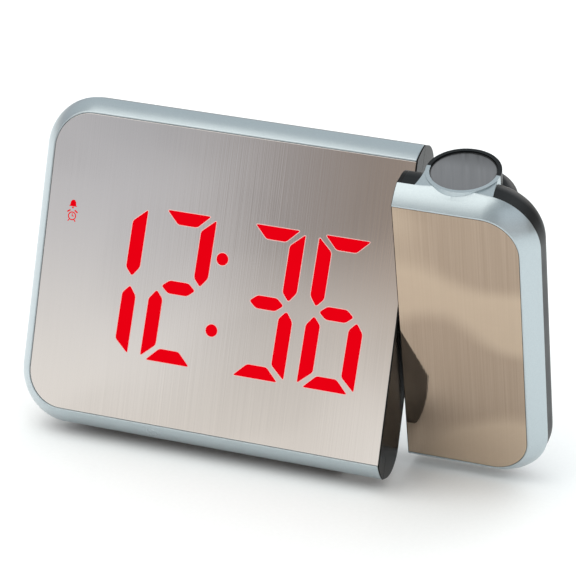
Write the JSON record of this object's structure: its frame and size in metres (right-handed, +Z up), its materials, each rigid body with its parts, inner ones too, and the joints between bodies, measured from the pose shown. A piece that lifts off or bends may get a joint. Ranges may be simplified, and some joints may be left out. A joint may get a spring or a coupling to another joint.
{
  "type": "projection alarm clock",
  "caption": "Leaning mirror-faced alarm clock with lit digits, rear keys and an end unit that tilts on a horizontal pivot and projects the time from a focusing barrel.",
  "frame": {"origin": "on the table under the middle of the whole clock's bounding box, as it stands with the projector unit turned forward as pictured", "axes": "+X along the clock towards the projector unit, +Y to the back, +Z up; the face looks towards -Y and leans back 15 degrees"},
  "size_m": [0.19, 0.0546, 0.1217],
  "materials": {
    "silver_bezel": "satin silver-blue paint on moulded plastic",
    "mirror_face": "half-silvered mirror with faint vertical brushing",
    "red_digits": "lit red",
    "dark_shell": "fine satin, charcoal",
    "glossy_end": "polished, near black",
    "smoked_window": "smoked clear, satin",
    "barrel_black": "satin black",
    "lens_glass": "clear",
    "board_green": "circuit board",
    "display_black": "matte black",
    "key_grey": "satin",
    "foot_rubber": "matte",
    "screw_steel": "zinc plated",
    "contact_nickel": "nickel plated",
    "cell_can": "plain wrap",
    "bush_resin": "natural acetal"
  },
  "bodies": {
    "clock": {"main_bezel": "silver_bezel", "main_mirror": "mirror_face", "digit_segments": "red_digits", "display_module": "display_black", "main_board": "board_green", "main_rear_shell": "dark_shell", "main_end_cap": "glossy_end", "key_board": "board_green", "case_screws": "screw_steel", "battery_tray": "barrel_black", "battery_contacts": "contact_nickel", "battery_lower": "cell_can", "battery_upper": "cell_can", "usb_socket": "contact_nickel", "power_inlet": "barrel_black", "speaker": "barrel_black", "foot_front_left": "foot_rubber", "foot_front_right": "foot_rubber", "foot_rear_left": "foot_rubber", "foot_rear_right": "foot_rubber", "pivot_bushing": "bush_resin", "friction_washer": "bush_resin"},
    "projector": {"projector_bezel": "silver_bezel", "projector_mirror": "mirror_face", "projector_rear_shell": "dark_shell", "projector_end_cap": "glossy_end", "pivot_shaft": "screw_steel", "shaft_nut": "screw_steel", "light_box": "barrel_black", "led_board": "board_green", "lcd_slide": "smoked_window", "projector_screws": "screw_steel"},
    "focus": {"focus_barrel": "barrel_black", "lens_window": "smoked_window", "projection_lens": "lens_glass"},
    "battery_door": {"battery_door": "dark_shell"},
    "snooze_bar": {"snooze_bar": "key_grey"},
    "key_set": {"key_set": "key_grey"},
    "key_alarm": {"key_alarm": "key_grey"},
    "key_down": {"key_down": "key_grey"},
    "key_up": {"key_up": "key_grey"},
    "key_projection": {"key_projection": "key_grey"}
  },
  "joints": [
    {"name": "projector_tilt", "type": "hinge", "parent": "clock", "child": "projector", "pos_m": [0.0445, -0.00083, 0.05944], "axis": [1, 0, 0], "range_deg": [-121.8, 58.2]},
    {"name": "focus_turn", "type": "hinge", "parent": "projector", "child": "focus", "pos_m": [0.0653, -0.00963, 0.10901], "axis": [0, -0.289, 0.9573], "range_deg": [-60, 60]},
    {"name": "snooze_bar_press", "type": "slide", "parent": "clock", "child": "snooze_bar", "axis": [0, -0.9659, 0.2588], "range_m": [0, 0.0008], "stiffness_N_per_m": 900, "springref_m": -0.0004},
    {"name": "key_set_press", "type": "slide", "parent": "clock", "child": "key_set", "axis": [0, -0.9659, 0.2588], "range_m": [0, 0.0008], "stiffness_N_per_m": 900, "springref_m": -0.0004},
    {"name": "key_alarm_press", "type": "slide", "parent": "clock", "child": "key_alarm", "axis": [0, -0.9659, 0.2588], "range_m": [0, 0.0008], "stiffness_N_per_m": 900, "springref_m": -0.0004},
    {"name": "key_down_press", "type": "slide", "parent": "clock", "child": "key_down", "axis": [0, -0.9659, 0.2588], "range_m": [0, 0.0008], "stiffness_N_per_m": 900, "springref_m": -0.0004},
    {"name": "key_up_press", "type": "slide", "parent": "clock", "child": "key_up", "axis": [0, -0.9659, 0.2588], "range_m": [0, 0.0008], "stiffness_N_per_m": 900, "springref_m": -0.0004},
    {"name": "key_projection_press", "type": "slide", "parent": "clock", "child": "key_projection", "axis": [0, -0.9659, 0.2588], "range_m": [0, 0.0008], "stiffness_N_per_m": 900, "springref_m": -0.0004},
    {"name": "battery_door_lift", "type": "slide", "parent": "clock", "child": "battery_door", "axis": [0, 1, 0], "range_m": [0, 0.03]}
  ]
}
